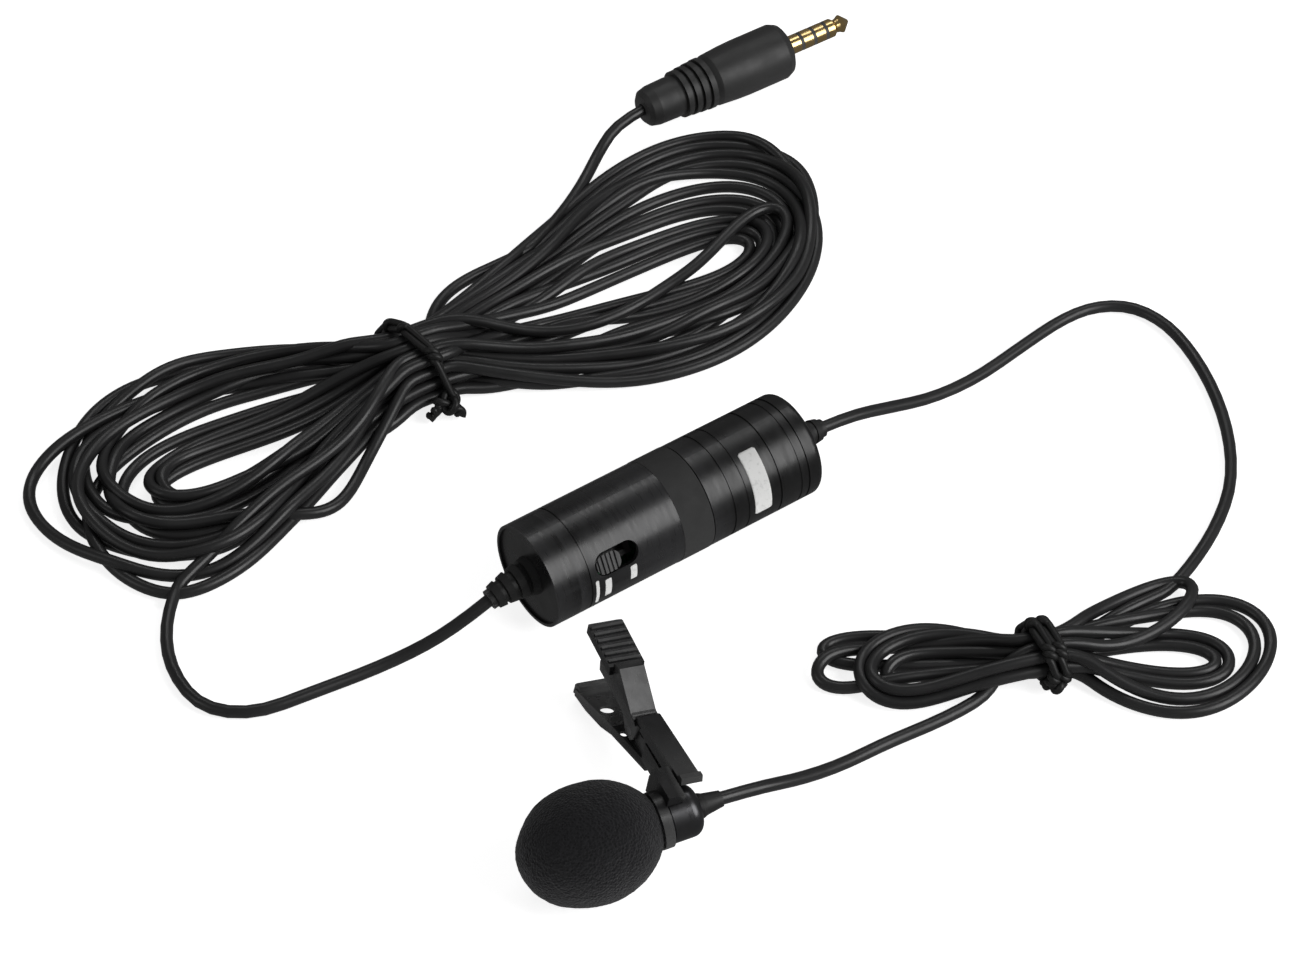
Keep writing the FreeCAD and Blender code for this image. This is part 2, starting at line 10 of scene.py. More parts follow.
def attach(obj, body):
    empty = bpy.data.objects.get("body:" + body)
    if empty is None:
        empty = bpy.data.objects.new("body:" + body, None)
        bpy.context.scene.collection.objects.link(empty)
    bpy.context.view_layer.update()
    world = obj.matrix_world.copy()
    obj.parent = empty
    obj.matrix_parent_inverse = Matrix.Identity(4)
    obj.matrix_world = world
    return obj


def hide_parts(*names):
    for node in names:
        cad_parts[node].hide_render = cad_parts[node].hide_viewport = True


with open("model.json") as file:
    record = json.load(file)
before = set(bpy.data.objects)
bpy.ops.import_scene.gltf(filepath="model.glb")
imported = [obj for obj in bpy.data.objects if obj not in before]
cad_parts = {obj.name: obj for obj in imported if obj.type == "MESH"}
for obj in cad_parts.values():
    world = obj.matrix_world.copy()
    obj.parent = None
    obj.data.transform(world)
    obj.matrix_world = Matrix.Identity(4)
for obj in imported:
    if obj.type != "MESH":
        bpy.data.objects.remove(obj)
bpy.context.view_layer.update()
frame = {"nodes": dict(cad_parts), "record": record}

# A lavalier microphone lying on a pale floor: foam, capsule, tie clip, battery pack, plug and two tied hanks.
# Everything is in metres. Lists of points are in millimetres, as in the part's source, and scaled by MM.
MM = 0.001
CORD_D = 2.1 * MM
CORD_R = CORD_D / 2
TIE_STRAND_R = 0.62 * MM
TIE_LIFT = 1.2 * MM                  # the tie passes under its bundle
SNUG = 0.95                          # the two strands of a tie press into each other a little
FLOOR_HALF = 3.0
FLOOR_DROP = 0.3 * MM                # keeps the floor clear of the lowest pieces

# Places from the part's source.
PACK_FACE = Vector((-20.7, 13.6, 9.0)) * MM
PACK_AZIMUTH = math.radians(34.7)
PACK_R = 9.0 * MM
MIC_CENTRE = Vector((-10.25, -40.7, 9.17)) * MM
MIC_AZIMUTH = math.radians(24)
PLUG_AZIMUTH = math.radians(33)


def mm(*points):
    return [Vector(p) * MM for p in points]


def added(name, data):
    obj = bpy.data.objects.new(name, data)
    bpy.context.collection.objects.link(obj)
    return obj


def axes(azimuth):
    """The level directions along this azimuth and across it."""
    along = Vector((math.cos(azimuth), math.sin(azimuth), 0))
    across = Vector((-math.sin(azimuth), math.cos(azimuth), 0))
    return along, across


def placed_mesh(name, made, centre, azimuth, material):
    """The smooth mesh of a bmesh that was made about the x axis, turned and moved to its place."""
    data = bpy.data.meshes.new(name)
    made.to_mesh(data)
    made.free()
    data.transform(Matrix.Translation(centre) @ Matrix.Rotation(azimuth, 4, "Z"))
    for face in data.polygons:
        face.use_smooth = True
    data.materials.append(material)
    return data


# ---------------------------------------------------------------- camera, light and floor
def aim(obj, target):
    obj.rotation_euler = (target - obj.location).to_track_quat("-Z", "Y").to_euler()


def camera():
    target = Vector((-1.2, 41.4, 0)) * MM
    distance = 0.689
    elevation = math.radians(47)
    data = bpy.data.cameras.new("view")
    data.lens = 115
    data.sensor_width = 36
    data.clip_start = 0.01
    obj = added("view", data)
    obj.location = target + distance * Vector((0, -math.cos(elevation), math.sin(elevation)))
    aim(obj, target)
    bpy.context.scene.camera = obj


def softbox(name, direction, distance, size, radiance):
    """A rectangular light of even brightness, seen from the object in this direction."""
    middle = Vector((0, 40, 0)) * MM
    data = bpy.data.lights.new(name, "AREA")
    data.shape = "RECTANGLE"
    data.size, data.size_y = size
    data.energy = math.pi * size[0] * size[1] * radiance
    obj = added(name, data)
    obj.location = middle + Vector(direction).normalized() * distance
    aim(obj, middle)


def studio():
    softbox("right_box", (0.74, -0.34, 0.55), 0.80, (0.42, 0.62), 4.2)
    softbox("back_strip", (0.08, 0.57, 0.82), 0.80, (0.60, 0.12), 3.3)
    softbox("left_fill", (-0.80, -0.30, 0.52), 0.90, (0.40, 0.40), 0.9)
    world = bpy.data.worlds.new("studio")
    bpy.context.scene.world = world
    world.use_nodes = True
    background = world.node_tree.nodes["Background"]
    background.inputs["Color"].default_value = (1, 1, 1, 1)
    background.inputs["Strength"].default_value = 0.13
    bpy.context.scene.view_settings.view_transform = "Standard"

    mesh = bpy.data.meshes.new("floor")
    corners = [(x * FLOOR_HALF, y * FLOOR_HALF, 0) for x, y in ((-1, -1), (1, -1), (1, 1), (-1, 1))]
    mesh.from_pydata(corners, [], [(0, 1, 2, 3)])
    floor = added("floor", mesh)
    floor.location.z = -FLOOR_DROP
    floor.visible_glossy = False
    paper = Finish("floor_paper", (0.9, 0.9, 0.9), 0.9)
    paper.shader.inputs["Emission Color"].default_value = (1, 1, 1, 1)
    paper.shader.inputs["Emission Strength"].default_value = 0.80
    paper.grain(1.5, 0.02)
    mesh.materials.append(paper.material)


# ---------------------------------------------------------------- materials
class Finish:
    """A procedural material: a base finish, and the layers of grain and variation that are added to it."""

    def __init__(self, name, colour, roughness, metallic=0.0, azimuth=0.0, **more):
        self.material = bpy.data.materials.new(name)
        self.material.use_nodes = True
        self.nodes = self.material.node_tree.nodes
        self.links = self.material.node_tree.links
        self.shader = self.nodes["Principled BSDF"]
        self.colour = colour
        self.shader.inputs["Base Color"].default_value = (*colour, 1)
        self.shader.inputs["Roughness"].default_value = roughness
        self.shader.inputs["Metallic"].default_value = metallic
        for socket, value in more.items():
            self.shader.inputs[socket.replace("_", " ")].default_value = value
        place = self.nodes.new("ShaderNodeTexCoord")
        turn = self.nodes.new("ShaderNodeMapping")
        turn.inputs["Rotation"].default_value = (0, 0, -azimuth)
        self.links.new(place.outputs["Object"], turn.inputs["Vector"])
        self.place = turn.outputs["Vector"]

    def stretched(self, stretch):
        scale = self.nodes.new("ShaderNodeMapping")
        scale.inputs["Scale"].default_value = stretch
        self.links.new(self.place, scale.inputs["Vector"])
        return scale.outputs["Vector"]

    def noise(self, size, detail=3, stretch=(1, 1, 1)):
        """Noise whose features are about this many millimetres across."""
        texture = self.nodes.new("ShaderNodeTexNoise")
        texture.inputs["Scale"].default_value = 1 / (size * MM)
        texture.inputs["Detail"].default_value = detail
        self.links.new(self.stretched(stretch), texture.inputs["Vector"])
        return texture.outputs["Fac"]

    def cells(self, size, feature="F1"):
        texture = self.nodes.new("ShaderNodeTexVoronoi")
        texture.feature = feature
        texture.inputs["Scale"].default_value = 1 / (size * MM)
        self.links.new(self.place, texture.inputs["Vector"])
        return texture.outputs["Distance"]

    def spread(self, value, low, high, start=0.3, end=0.7):
        """A value brought to between low and high."""
        node = self.nodes.new("ShaderNodeMapRange")
        self.links.new(value, node.inputs["Value"])
        ranges = {"From Min": start, "From Max": end, "To Min": low, "To Max": high}
        for socket, number in ranges.items():
            node.inputs[socket].default_value = number
        return node.outputs["Result"]

    def bump(self, height, depth):
        """Adds relief this many millimetres deep on top of what is there."""
        node = self.nodes.new("ShaderNodeBump")
        node.inputs["Distance"].default_value = depth * MM
        self.links.new(height, node.inputs["Height"])
        normal = self.shader.inputs["Normal"]
        if normal.is_linked:
            self.links.new(normal.links[0].from_socket, node.inputs["Normal"])
        self.links.new(node.outputs["Normal"], normal)

    def grain(self, size, depth, stretch=(1, 1, 1), detail=3):
        self.bump(self.noise(size, detail, stretch), depth)

    def patchy(self, size, low, high, stretch=(1, 1, 1)):
        """Roughness that varies between low and high over patches of this size."""
        varied = self.spread(self.noise(size, 4, stretch), low, high)
        self.links.new(varied, self.shader.inputs["Roughness"])

    def tint(self, value, other, start=0.3, end=0.7):
        """Colour that goes from the base to another one as the value rises."""
        blend = self.nodes.new("ShaderNodeMix")
        blend.data_type = "RGBA"
        blend.inputs["A"].default_value = (*self.colour, 1)
        blend.inputs["B"].default_value = (*other, 1)
        self.links.new(self.spread(value, 0, 1, start, end), blend.inputs["Factor"])
        self.links.new(blend.outputs["Result"], self.shader.inputs["Base Color"])

    def edge_wear(self, other, width=0.12):
        """Paler, rubbed convex edges."""
        flat = 0.5                       # what Pointiness gives on a flat face
        geometry = self.nodes.new("ShaderNodeNewGeometry")
        self.tint(geometry.outputs["Pointiness"], other, flat + width / 2, flat + width)


def foam_finish():
    pore = 0.42
    made = Finish("foam", (0.009, 0.009, 0.0096), 1.0, Sheen_Weight=0.08, Sheen_Roughness=0.6)
    made.shader.inputs["Specular IOR Level"].default_value = 0.12
    made.bump(made.cells(pore), 0.22)
    made.grain(0.9, 0.20)
    # Painted shade: the pits of the cells are painted darker, the rims between them paler.
    made.tint(made.cells(pore), (0.016, 0.016, 0.0175), 0.05, 0.6)
    return made.material


def turned_plastic(name, colour, low, high):
    made = Finish(name, colour, 0.3, azimuth=PACK_AZIMUTH)
    made.patchy(2.2, low, high, stretch=(3, 0.5, 0.5))
    made.grain(0.16, 0.0035, stretch=(1, 0.02, 0.02))
    made.grain(0.5, 0.002)
    made.edge_wear((0.02, 0.02, 0.021))
    return made.material


def moulded(name, colour, low, high, size=0.25, depth=0.006, worn=(0.06, 0.06, 0.06)):
    made = Finish(name, colour, 0.5)
    made.patchy(3.0, low, high)
    made.grain(size, depth)
    made.grain(2.4, 0.02, detail=1)
    made.edge_wear(worn)
    return made.material


def jacket(name, colour, low, high):
    made = Finish(name, colour, 0.4)
    made.patchy(5.0, low, high)
    made.grain(0.35, 0.004)
    made.tint(made.noise(9.0), tuple(1.35 * part for part in colour))
    return made.material


def metal(name, colour, low, high, azimuth=0.0, stretch=(1, 1, 1), size=0.3, depth=0.003):
    made = Finish(name, colour, 0.3, metallic=1.0, azimuth=azimuth)
    made.patchy(1.6, low, high, stretch)
    made.grain(size, depth, stretch)
    made.tint(made.noise(2.5), tuple(0.8 * part for part in colour))
    return made.material


def anodised(name, colour):
    made = Finish(name, colour, 0.35, metallic=0.9, azimuth=MIC_AZIMUTH)
    made.patchy(1.5, 0.26, 0.36, stretch=(3, 0.4, 0.4))
    made.grain(0.12, 0.003, stretch=(1, 0.03, 0.03))
    made.edge_wear((0.09, 0.09, 0.095))
    return made.material


def woven(name, colour):
    opening = 0.18
    made = Finish(name, colour, 0.85)
    made.bump(made.cells(opening, "DISTANCE_TO_EDGE"), 0.05)
    made.tint(made.cells(opening, "DISTANCE_TO_EDGE"), tuple(0.3 * part for part in colour), 0.0, 0.25)
    return made.material


def solder_mask(name, colour):
    made = Finish(name, colour, 0.35)
    made.tint(made.cells(1.3, "DISTANCE_TO_EDGE"), (0.05, 0.30, 0.12), 0.06, 0.10)
    made.grain(0.6, 0.01)
    return made.material


def finishes():
    """One material for each slot of the record."""
    return {
        "foam": foam_finish(),
        "capsule_metal": anodised("capsule_metal", (0.075, 0.075, 0.078)),
        "grille_metal": anodised("grille_metal", (0.05, 0.05, 0.05)),
        "element_metal": metal("element_metal", (0.62, 0.62, 0.60), 0.25, 0.40),
        "rubber_black": moulded("rubber_black", (0.012, 0.012, 0.012), 0.45, 0.60, size=0.2, depth=0.01),
        "cable_jacket": jacket("cable_jacket", (0.018, 0.018, 0.0184), 0.28, 0.42),
        "tie_jacket": jacket("tie_jacket", (0.008, 0.008, 0.008), 0.40, 0.55),
        "clip_plastic": moulded("clip_plastic", (0.009, 0.009, 0.0095), 0.20, 0.33, depth=0.003),
        "pin_steel": metal("pin_steel", (0.42, 0.42, 0.43), 0.28, 0.42),
        "pack_shell": turned_plastic("pack_shell", (0.006, 0.006, 0.0062), 0.24, 0.36),
        "pack_cap": turned_plastic("pack_cap", (0.007, 0.007, 0.0072), 0.27, 0.40),
        "inner_plastic": moulded("inner_plastic", (0.05, 0.05, 0.05), 0.45, 0.60,
                                 worn=(0.09, 0.09, 0.09)),
        "band_matt": moulded("band_matt", (0.014, 0.014, 0.0145), 0.70, 0.85, size=0.16, depth=0.02,
                             worn=(0.03, 0.03, 0.03)),
        "switch_plastic": moulded("switch_plastic", (0.040, 0.040, 0.041), 0.45, 0.58,
                                  worn=(0.10, 0.10, 0.10)),
        "board": solder_mask("board", (0.02, 0.16, 0.06)),
        "components": moulded("components", (0.04, 0.04, 0.045), 0.40, 0.55),
        "cell_steel": metal("cell_steel", (0.70, 0.70, 0.69), 0.16, 0.30),
        "contact_metal": metal("contact_metal", (0.72, 0.62, 0.42), 0.22, 0.38),
        "plug_rubber": moulded("plug_rubber", (0.030, 0.030, 0.030), 0.42, 0.55, size=0.22, depth=0.012,
                               worn=(0.045, 0.045, 0.045)),
        "gold_plate": metal("gold_plate", (0.86, 0.62, 0.28), 0.14, 0.26, azimuth=PLUG_AZIMUTH,
                            stretch=(1, 0.05, 0.05), size=0.12, depth=0.002),
        "insulator_black": moulded("insulator_black", (0.010, 0.010, 0.010), 0.35, 0.50),
        "mesh": woven("mesh", (0.04, 0.04, 0.04)),
    }


def white_ink():
    made = Finish("white_ink", (0.78, 0.78, 0.77), 0.5)
    made.grain(0.2, 0.006)
    made.tint(made.noise(0.7), (0.60, 0.60, 0.59), 0.55, 0.75)
    return made.material


def dress_nodes(finish):
    slot_of = {part["node"]: part["material_slot"] for part in frame["record"]["subparts"]}
    for name, obj in frame["nodes"].items():
        obj.data.materials.clear()
        obj.data.materials.append(finish[slot_of[name]])


# ---------------------------------------------------------------- cords
# How a hank settles: what share of each fault one round puts right, and when it calms down.
SETTLE_ROUNDS = 240
SEARCH_EVERY = 4                     # rounds between two searches for stretches that are close
CALM_FROM = 0.75                     # share of the rounds after which the cord calms down
FALL = (0.10, 0.02)                  # millimetres in a round, before that and after it
PULL_HOME = (0.06, 0.02)
SAME_STRETCH = 4                     # points this near along the cord don't push each other
WATCHED = 1.7                        # diameters between stretches that may come to touch
DEEP = 0.3                           # diameters of overlap from which one stretch is lifted over the other
PUSH_APART = 0.4
EVEN_OUT = 0.5
KEEP_SPACING = 0.3
ROW_RISE = 0.87                      # of a diameter: round strands nest in the row below
SHARES = 4                           # shares that describe one lobe of a turn
# Sides of a pass through the tie, counted out from its middle. Only their order is used.
ENTRY_SIDE = -0.6
MIDDLE = 0.3                         # a pass between two innermost lobes
LEAVING = (-3, 0, 0, 0)              # for the turn after the last, so that the cord leaves on the other side
# Millimetres along the tie at which each strand is held straight.
PASS_STEPS = (-4.2, -2.1, 0, 2.1, 4.2)


def even(points, held, step):
    """The same line with a point every step, and how firmly each one is held."""
    out, firm = [points[0]], [held[0]]
    for (before, here), grip in zip(zip(points, points[1:]), held[1:]):
        length = (here - before).length
        count = max(1, round(length / step))
        for number in range(1, count + 1):
            out.append(before.lerp(here, number / count))
            firm.append(grip if number == count else min(grip, firm[-1]))
    return out, firm


def settled(points, held, rounds):
    """Lets a wound cord fall and lie on itself and on the floor, its spacing and its plan kept.

    held says how firmly each point keeps its place, from 0, free, to 1, fixed."""
    place = np.array([tuple(p) for p in points])
    loose = (1 - np.array(held))[:, None]

    def smooth(passes, share):
        for _ in range(passes):
            place[1:-1] += share * ((place[:-2] + place[2:]) / 2 - place[1:-1]) * loose[1:-1]

    smooth(passes=20, share=0.5)
    home = place.copy()
    spacing = np.linalg.norm(np.diff(place, axis=0), axis=1)
    index = np.arange(len(place))
    well_apart = index[None] - index[:, None] > SAME_STRETCH
    for turn in range(rounds):
        if turn % SEARCH_EVERY == 0:
            square = (place ** 2).sum(1)
            gap = square[:, None] + square[None] - 2 * place @ place.T
            first, second = np.nonzero((gap < (CORD_D * WATCHED) ** 2) & well_apart)
        calm = turn > rounds * CALM_FROM
        move = np.zeros_like(place)
        move[:, 2] -= FALL[calm] * MM
        move[:, :2] += PULL_HOME[calm] * (home - place)[:, :2]
        place += move * loose
        for _ in range(2):
            shift = np.zeros_like(place)
            apart = place[second] - place[first]
            deep = np.clip(CORD_D - np.linalg.norm(apart, axis=1), 0, None)
            # Where two stretches are deep in each other, the one wound first goes on top.
            apart[:, 2] -= np.where(deep > DEEP * CORD_D, CORD_D, 0)
            dist = np.linalg.norm(apart, axis=1) + 1e-9
            push = apart / dist[:, None] * (PUSH_APART * deep)[:, None]
            np.add.at(shift, second, push)
            np.add.at(shift, first, -push)
            place += shift * loose
        stray = place - home
        stray[:, 2] = place[:, 2]
        even_out = np.zeros_like(place)
        even_out[1:-1] = (stray[:-2] + stray[2:]) / 2 - stray[1:-1]
        place += EVEN_OUT * even_out * loose
        along = np.diff(place, axis=0)
        length = np.linalg.norm(along, axis=1)
        fix = along * (KEEP_SPACING * (length - spacing) / length)[:, None]
        place[:-1] += fix * loose[:-1]
        place[1:] -= fix * loose[1:]
        place[:, 2] = np.maximum(place[:, 2], CORD_R)
    smooth(passes=4, share=0.4)
    return [Vector(p) for p in place]


def tie_slots(centre, azimuth, rows):
    """Places for the strands in a tied bundle: (offset across it, row, place)."""
    _, across = axes(azimuth)
    slots = []
    for row, strands in enumerate(rows):
        nudge = 0.5 * ((strands - 1 + row) % 2)
        for strand in range(strands):
            offset = (strand - (strands - 1) / 2 + nudge) * CORD_D
            height = TIE_LIFT + CORD_R + row * CORD_D * ROW_RISE
            slots.append((offset, row, centre + across * offset + Vector((0, 0, height))))
    slots.sort(key=lambda slot: slot[0])
    return slots


def lobe(outer, inner, shares, height):
    """One lobe of a turn: between its inner and its outer outline, by shares that vary along it.

    A lobe that leaves the rest gives its own points in place of the shares."""
    if len(shares) > SHARES:
        return [Vector((x, y, 0)) * MM + Vector((0, 0, height)) for x, y in shares]
    points = []
    for number, (far, near) in enumerate(zip(outer, inner)):
        t = number / (len(outer) - 1) * (len(shares) - 1)
        low = min(int(t), len(shares) - 2)
        share = shares[low] + (shares[low + 1] - shares[low]) * (t - low)
        flat = Vector(near).lerp(Vector(far), share) * MM
        points.append(Vector((flat.x, flat.y, height)))
    return points


def wound(entry, turns, leave, tie, azimuth, rows):
    """A whole hank as one line, for the first turn on top: it passes through the tie between its lobes.

    A turn is (points of its right lobe, of its left lobe, side of the pass back, side of the pass forth)."""
    along, _ = axes(azimuth)
    # Each pass through the tie: its side, its direction along the tie, and how late it is wound.
    passes = [(ENTRY_SIDE, 1, 0)]
    for number, (_, _, back, forth) in enumerate(turns):
        passes.append((back, -1, number + 0.5))
        passes.append((forth, 1, number + 1))
    slots = tie_slots(tie, azimuth, rows)
    order = sorted(range(len(passes)), key=lambda which: passes[which][0])
    place = {}
    for start in range(0, len(order), len(rows)):
        which_ones = sorted(order[start:start + len(rows)], key=lambda which: -passes[which][2])
        stack = sorted(slots[start:start + len(rows)], key=lambda slot: slot[1])
        for which, slot in zip(which_ones, stack):
            place[which] = slot[2]
    points, held = [], []

    def add(new, firmness):
        points.extend(new)
        held.extend([firmness] * len(new))

    def cross(which):
        heading = along * passes[which][1]
        add([place[which] + heading * step * MM for step in PASS_STEPS], 1)

    add(entry[:1], 1)
    add(entry[1:], 0)
    cross(0)
    for number, (right, left, _, _) in enumerate(turns):
        add(right, 0)
        cross(2 * number + 1)
        add(left, 0)
        cross(2 * number + 2)
    add(leave[:-1], 0)
    add(leave[-1:], 1)
    return points, held


def line_of(obj):
    """Points along a cord's own spline."""
    bare = obj.data.copy()
    bare.bevel_depth = 0
    bare.use_fill_caps = False
    probe = bpy.data.objects.new("probe", bare)
    mesh = bpy.data.meshes.new_from_object(probe)
    points = [v.co.copy() for v in mesh.vertices]
    bpy.data.meshes.remove(mesh)
    bpy.data.objects.remove(probe)
    return points


def length_of(points):
    return sum((b - a).length for a, b in zip(points, points[1:]))


# Routes of the free stretches, the same points as in the part's source.
MIC_LEAD = mm((9.57, -31.87, 9.17), (15.6, -29.1, 8.5), (21.7, -25.1, 5.4), (28.5, -19.7, 2.2),
              (36.1, -14.1, 1.1), (44.3, -9.9, 1.1), (51.5, -5.1, 1.1), (55.1, -2.1, 1.1))
PACK_LEAD_MIC_SIDE = mm((27.06, 46.67, 8.73), (32.1, 50.1, 8.2), (38.9, 54.7, 5.4), (46.3, 59.5, 2.6),
                        (54.3, 65.7, 1.2), (62.2, 73.2, 1.1), (69.3, 79.7, 1.1), (75.3, 83.1, 1.1),
                        (81.7, 83.3, 1.1), (87.2, 79.4, 1.1), (91.2, 72.4, 1.1), (94.4, 62.6, 1.1),
                        (95.9, 51.6, 1.1), (95.2, 40.9, 1.1), (91.7, 31.4, 1.1), (87.2, 23.5, 1.1),
                        (82.7, 17.5, 1.1))
PACK_LEAD_PLUG_SIDE = mm((-26.71, 9.44, 8.09), (-31.5, 6.2, 5.9), (-37.9, 3.9, 2.6), (-45.7, 0.5, 1.1),
                         (-54.5, -3.9, 1.1), (-63.5, -8.5, 1.1), (-71.9, -7.3, 1.1), (-77.1, -0.1, 1.1),
                         (-79.1, 8.5, 1.1), (-78.1, 17.8, 1.2))
PLUG_LEAD = mm((-2.05, 129.53, 5.25), (-6.9, 126.4, 4.6), (-10.1, 121.7, 2.5), (-12.8, 114.9, 1.2),
               (-16.1, 107.5, 1.2), (-20.3, 99.9, 1.6), (-22.9, 95.9, 1.8))

# Outer and inner outline of each lobe of the long hank: away from its tie on one side and back on the other.
LONG_TIE = Vector((-40.2, 66.0, 0)) * MM
LONG_AZIMUTH = math.radians(28)
LONG_ROWS = (8, 7, 6, 4)
LONG_RIGHT_OUTER = ((-24, 63), (-10, 64.4), (3, 66.4), (13.6, 72), (21.4, 81), (26.6, 92), (28.4, 103),
                    (27.8, 114.8), (23.4, 124.2), (12.6, 128.2), (1.2, 125.2), (-9.6, 115.6),
                    (-18.6, 100.4), (-28, 88.6))
LONG_RIGHT_INNER = ((-29.5, 73), (-19, 79), (-9, 83.6), (1, 87.2), (10, 89.6), (17, 92.6),
                    (20.6, 97.2), (18.5, 101.4), (12.5, 100.8), (5, 96), (-3.6, 90.6), (-12, 85.8),
                    (-21, 81.4), (-30, 77))
LONG_LEFT_OUTER = ((-58, 73), (-68, 73.8), (-79.5, 72.2), (-91, 67), (-99.2, 57), (-102.6, 45.4),
                   (-101.8, 33), (-95.2, 23.4), (-84, 17.4), (-74, 16.8), (-66.2, 24), (-60.6, 35.2),
                   (-53.4, 47.8))
LONG_LEFT_INNER = ((-52, 60.8), (-60, 54.8), (-68, 50.6), (-76, 47), (-82.5, 43.6), (-85.6, 40), (-84, 36),
                   (-78.5, 34.6), (-71.5, 38.6), (-64.5, 44.6), (-58, 50.8), (-52.5, 56.2),
                   (-47.5, 60.4))
LONG_ENTRY = ((-78.1, 17.8, 1.2), (-75.4, 21.5, 5), (-71.4, 26.5, 8), (-65.6, 32.2, 10), (-60.7, 38, 11),
              (-53.7, 45, 11), (-47.5, 52, 9))
LONG_LEAVE = ((-40.4, 81.5, 1.2), (-37, 88.2, 1.2), (-31.8, 92.8, 1.2), (-26.8, 93.8, 1.2))
# A right lobe that comes back across the eye.
LONG_CROSSING_LOOP = ((-26.5, 67.6), (-14, 70.4), (-3, 74), (7.3, 78.8), (15.7, 85), (21.8, 92.6),
                      (24.8, 100.6), (24.2, 108), (20.2, 110.4), (15.8, 105.2), (10.8, 97.2), (5, 88.8),
                      (-2, 82), (-10, 77), (-19.4, 74.4), (-29, 74.4))
# Two left lobes that leave the rest: one stands out at the far end, one sags near the tie.
LONG_STRAY_LOOP = ((-57, 70.5), (-68, 69), (-79, 65), (-88, 58), (-95.6, 51.4), (-102.8, 47.6),
                   (-106, 40.6), (-104, 33.4), (-97.6, 27.4), (-90.8, 23.6), (-83.4, 19.2), (-74, 18.4),
                   (-66, 25), (-59.4, 35.4), (-52, 47.2))
LONG_SLACK_LOOP = ((-58, 66.5), (-68, 65), (-78, 61), (-86.5, 55), (-92.5, 47), (-93.5, 38), (-88.5, 30.6),
                   (-80, 28.6), (-70.5, 32.4), (-61.6, 35), (-55.2, 31.6), (-51, 35), (-50.2, 42.6),
                   (-48, 50.4))
# Each turn, the topmost first: four shares round its right lobe and four round its left one. A share says how
# far out the cord lies, from 0 at the inner outline to 1 at the outer one.
LONG_TURNS = (
    (LONG_CROSSING_LOOP, (0.55, 0.62, 0.78, 0.80)),
    ((0.02, 0.06, 0.06, 0.04), (0.90, 0.60, 0.15, 0.12)),
    ((0.62, 0.92, 0.88, 0.72), LONG_STRAY_LOOP),
    ((0.10, 0.36, 0.26, 0.14), (0.28, 0.10, 0.02, 0.30)),
    ((0.76, 0.80, 0.68, 0.84), LONG_SLACK_LOOP),
    ((0.96, 1.00, 0.78, 0.62), (0.45, 0.72, 0.60, 0.90)),
    ((0.48, 0.60, 1.00, 1.00), (0.98, 0.80, 0.30, 0.22)),
    ((0.60, 0.24, 0.38, 0.44), (0.10, 0.05, 0.02, 0.04)),
    ((0.20, 0.17, 0.17, 0.24), (0.62, 0.35, 1.00, 1.00)),
    ((0.34, 0.70, 0.58, 0.53), (-0.08, 0.05, 0.12, -0.02)),
    ((1.00, 0.90, 0.95, 0.92), (0.80, 0.90, 0.70, 0.72)),
    ((0.88, 0.48, 0.48, 0.34), (0.20, 0.28, 0.50, 0.52)),
)

SHORT_TIE = Vector((61.4, 1.6, 0)) * MM
SHORT_AZIMUTH = math.radians(14)
SHORT_ROWS = (4, 4, 3)
# The same for the short hank.
SHORT_RIGHT_OUTER = ((69.6, -4.4), (77.4, -8.4), (84.6, -10.2), (91.2, -6.2), (97.2, 1.2), (100.8, 8.2),
                     (97.6, 15.4), (89.4, 18), (80.6, 14.6), (72.5, 10.8))
SHORT_RIGHT_INNER = ((71, 1), (77.5, 1), (83.5, -1), (89.6, -2), (92.8, 0.8), (92, 4.8), (87, 7.2),
                     (81.5, 6.6), (75.5, 5.2), (70, 5))
SHORT_LEFT_OUTER = ((52.5, 7.6), (45.5, 8), (38, 8.2), (32.2, 6), (29.6, 0), (31.2, -6.6), (37.2, -9.4),
                    (44.5, -5), (50.5, -1.2))
SHORT_LEFT_INNER = ((51, 4.6), (44.5, 4.6), (38.5, 4.2), (34, 2.2), (32.6, -1.6), (34.4, -5.4), (39.5, -6.2),
                    (45, -4), (51, -1.2))
SHORT_ENTRY = ((51.5, -5.1, 1.1), (55.1, -2.1, 1.1))
SHORT_LEAVE = ((70, 10.6, 1.1), (75.6, 14, 1.1), (82.7, 17.5, 1.1))
# The first right lobe reaches out to where the pack's cable leaves, and two left lobes past the rest.
SHORT_REACHING_LOOP = ((68, 0), (73, 2.6), (80.2, 6.8), (86.8, 12.4), (90.6, 18.6), (88, 22.6),
                       (82.2, 20.2), (76.6, 15.9), (70.5, 11.4))
SHORT_NEAR_TIP_LOOP = ((52, 6.6), (43, 6), (35, 5.4), (27.6, 4.8), (22.4, 2), (22.6, -3.4), (28, -5.6),
                       (35, -2.8), (43, -0.6), (52, 0.6))
SHORT_FAR_TIP_LOOP = ((52, 7.2), (44, 7.6), (36.8, 8.2), (29, 8.6), (22.6, 7.2), (22, 2.6), (28.6, 0.2),
                      (36.6, 1.6), (44, 2), (52, 1.6))
SHORT_TURNS = (
    (SHORT_REACHING_LOOP, (0.60, 0.50, 0.55, 0.50)),
    ((0.70, 0.80, 0.80, 0.72), (0.95, 1.00, 1.00, 1.00)),
    ((0.25, 0.28, 0.24, 0.30), SHORT_NEAR_TIP_LOOP),
    ((1.00, 1.00, 1.00, 0.95), (0.25, 0.12, 0.10, 0.20)),
    ((0.02, 0.05, 0.00, 0.10), SHORT_FAR_TIP_LOOP),
)


